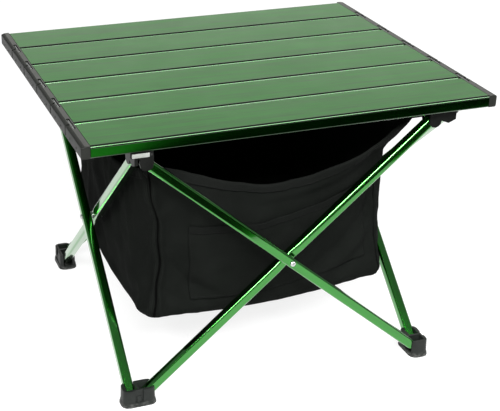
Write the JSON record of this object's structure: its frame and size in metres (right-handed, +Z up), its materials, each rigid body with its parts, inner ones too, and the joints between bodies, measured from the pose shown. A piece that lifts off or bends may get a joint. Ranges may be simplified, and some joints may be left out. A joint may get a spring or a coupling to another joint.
{
  "type": "folding camp table",
  "caption": "Low folding camp table: a roll-up slatted metal top on a scissor frame of crossing tube legs, with an open cloth bag slung inside the frame.",
  "frame": {"origin": "on the ground, under the middle of the tabletop", "axes": "+X along the slats, +Y from the front to the back, +Z up"},
  "size_m": [0.42, 0.3496, 0.29],
  "materials": {
    "green_slat": "satin anodised, brushed lengthwise",
    "green_tube": "bright anodised",
    "grey_plastic": "fine texture",
    "black_plastic": "satin",
    "elastic_cord": "braided",
    "rivet_steel": "bright",
    "black_cloth": "woven"
  },
  "bodies": {
    "foot_near_left": {"foot_near_left": "grey_plastic"},
    "hub_near_left": {"hub_near_left": "black_plastic", "bag_tab_near_left": "black_cloth", "bag_wall_front": "black_cloth", "bag_wall_left": "black_cloth", "bag_pocket": "black_cloth"},
    "foot_near_right": {"foot_near_right": "grey_plastic"},
    "hub_near_right": {"hub_near_right": "black_plastic", "bag_tab_near_right": "black_cloth", "bag_wall_right": "black_cloth"},
    "foot_far_right": {"foot_far_right": "grey_plastic"},
    "hub_far_right": {"hub_far_right": "black_plastic", "bag_tab_far_right": "black_cloth"},
    "foot_far_left": {"foot_far_left": "grey_plastic"},
    "hub_far_left": {"hub_far_left": "black_plastic", "bag_tab_far_left": "black_cloth", "bag_wall_back": "black_cloth"},
    "bag_floor_left": {"bag_floor_left": "black_cloth"},
    "bag_floor_right": {"bag_floor_right": "black_cloth"},
    "leg_front_inner": {"leg_front_inner": "green_tube"},
    "leg_front_outer": {"leg_front_outer": "green_tube", "rivet_front": "rivet_steel"},
    "leg_right_inner": {"leg_right_inner": "green_tube"},
    "leg_right_outer": {"leg_right_outer": "green_tube", "rivet_right": "rivet_steel"},
    "leg_back_inner": {"leg_back_inner": "green_tube"},
    "leg_back_outer": {"leg_back_outer": "green_tube", "rivet_back": "rivet_steel"},
    "leg_left_inner": {"leg_left_inner": "green_tube"},
    "leg_left_outer": {"leg_left_outer": "green_tube", "rivet_left": "rivet_steel"},
    "slat_1": {"slat_1": "green_slat", "cap_left_1": "grey_plastic", "cap_right_1": "grey_plastic", "cord_left_1": "elastic_cord", "cord_right_1": "elastic_cord"},
    "slat_2": {"slat_2": "green_slat", "cap_left_2": "grey_plastic", "cap_right_2": "grey_plastic", "cord_left_2": "elastic_cord", "cord_right_2": "elastic_cord"},
    "slat_3": {"slat_3": "green_slat", "cap_left_3": "grey_plastic", "cap_right_3": "grey_plastic", "cord_left_3": "elastic_cord", "cord_right_3": "elastic_cord"},
    "slat_4": {"slat_4": "green_slat", "cap_left_4": "grey_plastic", "cap_right_4": "grey_plastic", "cord_left_4": "elastic_cord", "cord_right_4": "elastic_cord"},
    "slat_5": {"slat_5": "green_slat", "cap_left_5": "grey_plastic", "cap_right_5": "grey_plastic", "cord_left_5": "elastic_cord", "cord_right_5": "elastic_cord"},
    "slat_6": {"slat_6": "green_slat", "cap_left_6": "grey_plastic", "cap_right_6": "grey_plastic"}
  },
  "joints": [
    {"name": "frame_fold", "type": "hinge", "parent": "foot_near_left", "child": "leg_front_inner", "pos_m": [-0.15, -0.1534, 0.0085], "axis": [0, -1, 0], "range_deg": [0, 43], "deforming": ["bag_wall_front", "bag_wall_left", "bag_wall_right", "bag_wall_back", "bag_pocket", "bag_floor_left", "bag_floor_right"]},
    {"name": "front_crossing", "type": "hinge", "parent": "leg_front_inner", "child": "leg_front_outer", "pos_m": [0, -0.1587, 0.137], "axis": [0, 1, 0], "range_deg": [0, 86]},
    {"name": "near_left_hub_pivot", "type": "hinge", "parent": "leg_front_outer", "child": "hub_near_left", "pos_m": [-0.15, -0.164, 0.2655], "axis": [0, -1, 0], "range_deg": [0, 43]},
    {"name": "near_right_foot_pivot", "type": "hinge", "parent": "leg_front_outer", "child": "foot_near_right", "pos_m": [0.15, -0.164, 0.0085], "axis": [0, -1, 0], "range_deg": [0, 43]},
    {"name": "near_right_hub_pivot", "type": "hinge", "parent": "leg_front_inner", "child": "hub_near_right", "pos_m": [0.15, -0.1534, 0.2655], "axis": [0, 1, 0], "range_deg": [0, 43]},
    {"name": "left_outer_leg_pivot", "type": "hinge", "parent": "foot_near_left", "child": "leg_left_outer", "pos_m": [-0.164, -0.15, 0.0085], "axis": [1, 0, 0], "range_deg": [0, 43]},
    {"name": "left_crossing", "type": "hinge", "parent": "leg_left_outer", "child": "leg_left_inner", "pos_m": [-0.1587, 0, 0.137], "axis": [-1, 0, 0], "range_deg": [0, 86]},
    {"name": "far_left_hub_pivot", "type": "hinge", "parent": "leg_left_outer", "child": "hub_far_left", "pos_m": [-0.164, 0.15, 0.2655], "axis": [-1, 0, 0], "range_deg": [0, 43]},
    {"name": "far_left_foot_pivot", "type": "hinge", "parent": "leg_left_inner", "child": "foot_far_left", "pos_m": [-0.1534, 0.15, 0.0085], "axis": [1, 0, 0], "range_deg": [0, 43]},
    {"name": "right_inner_leg_pivot", "type": "hinge", "parent": "foot_near_right", "child": "leg_right_inner", "pos_m": [0.1534, -0.15, 0.0085], "axis": [1, 0, 0], "range_deg": [0, 43]},
    {"name": "right_crossing", "type": "hinge", "parent": "leg_right_inner", "child": "leg_right_outer", "pos_m": [0.1587, 0, 0.137], "axis": [-1, 0, 0], "range_deg": [0, 86]},
    {"name": "far_right_hub_pivot", "type": "hinge", "parent": "leg_right_inner", "child": "hub_far_right", "pos_m": [0.1534, 0.15, 0.2655], "axis": [-1, 0, 0], "range_deg": [0, 43]},
    {"name": "far_right_foot_pivot", "type": "hinge", "parent": "leg_right_outer", "child": "foot_far_right", "pos_m": [0.164, 0.15, 0.0085], "axis": [1, 0, 0], "range_deg": [0, 43]},
    {"name": "back_outer_leg_pivot", "type": "hinge", "parent": "foot_far_left", "child": "leg_back_outer", "pos_m": [-0.15, 0.164, 0.0085], "axis": [0, -1, 0], "range_deg": [0, 43]},
    {"name": "back_crossing", "type": "hinge", "parent": "leg_back_outer", "child": "leg_back_inner", "pos_m": [0, 0.1587, 0.137], "axis": [0, 1, 0], "range_deg": [0, 86]},
    {"name": "bag_floor_left_fold", "type": "hinge", "parent": "hub_near_left", "child": "bag_floor_left", "pos_m": [-0.133, 0, 0.081], "axis": [0, -1, 0], "range_deg": [0, 86]},
    {"name": "bag_floor_right_fold", "type": "hinge", "parent": "hub_near_right", "child": "bag_floor_right", "pos_m": [0.13195, 0, 0.07625], "axis": [0, 1, 0], "range_deg": [0, 86]},
    {"name": "top_lift", "type": "slide", "parent": "hub_near_left", "child": "slat_3", "axis": [0, 0, 1], "range_m": [0, 0.12]},
    {"name": "slat_fold_2", "type": "hinge", "parent": "slat_3", "child": "slat_2", "pos_m": [0, -0.0575, 0.29], "axis": [-1, 0, 0], "range_deg": [0, 58], "deforming": ["cord_left_2", "cord_right_2"]},
    {"name": "slat_fold_1", "type": "hinge", "parent": "slat_2", "child": "slat_1", "pos_m": [0, -0.115, 0.29], "axis": [-1, 0, 0], "range_deg": [0, 58], "deforming": ["cord_left_1", "cord_right_1"]},
    {"name": "slat_fold_3", "type": "hinge", "parent": "slat_3", "child": "slat_4", "pos_m": [0, 0, 0.29], "axis": [1, 0, 0], "range_deg": [0, 58], "deforming": ["cord_left_3", "cord_right_3"]},
    {"name": "slat_fold_4", "type": "hinge", "parent": "slat_4", "child": "slat_5", "pos_m": [0, 0.0575, 0.29], "axis": [1, 0, 0], "range_deg": [0, 58], "deforming": ["cord_left_4", "cord_right_4"]},
    {"name": "slat_fold_5", "type": "hinge", "parent": "slat_5", "child": "slat_6", "pos_m": [0, 0.115, 0.29], "axis": [1, 0, 0], "range_deg": [0, 58], "deforming": ["cord_left_5", "cord_right_5"]}
  ],
  "couplings": [
    {"joint": "front_crossing", "follows": "frame_fold", "ratio": 2},
    {"joint": "near_left_hub_pivot", "follows": "frame_fold", "ratio": 1},
    {"joint": "near_right_foot_pivot", "follows": "frame_fold", "ratio": 1},
    {"joint": "near_right_hub_pivot", "follows": "frame_fold", "ratio": 1},
    {"joint": "left_outer_leg_pivot", "follows": "frame_fold", "ratio": 1},
    {"joint": "left_crossing", "follows": "frame_fold", "ratio": 2},
    {"joint": "far_left_hub_pivot", "follows": "frame_fold", "ratio": 1},
    {"joint": "far_left_foot_pivot", "follows": "frame_fold", "ratio": 1},
    {"joint": "right_inner_leg_pivot", "follows": "frame_fold", "ratio": 1},
    {"joint": "right_crossing", "follows": "frame_fold", "ratio": 2},
    {"joint": "far_right_hub_pivot", "follows": "frame_fold", "ratio": 1},
    {"joint": "far_right_foot_pivot", "follows": "frame_fold", "ratio": 1},
    {"joint": "back_outer_leg_pivot", "follows": "frame_fold", "ratio": 1},
    {"joint": "back_crossing", "follows": "frame_fold", "ratio": 2},
    {"joint": "bag_floor_left_fold", "follows": "frame_fold", "ratio": 2},
    {"joint": "bag_floor_right_fold", "follows": "frame_fold", "ratio": 2}
  ]
}
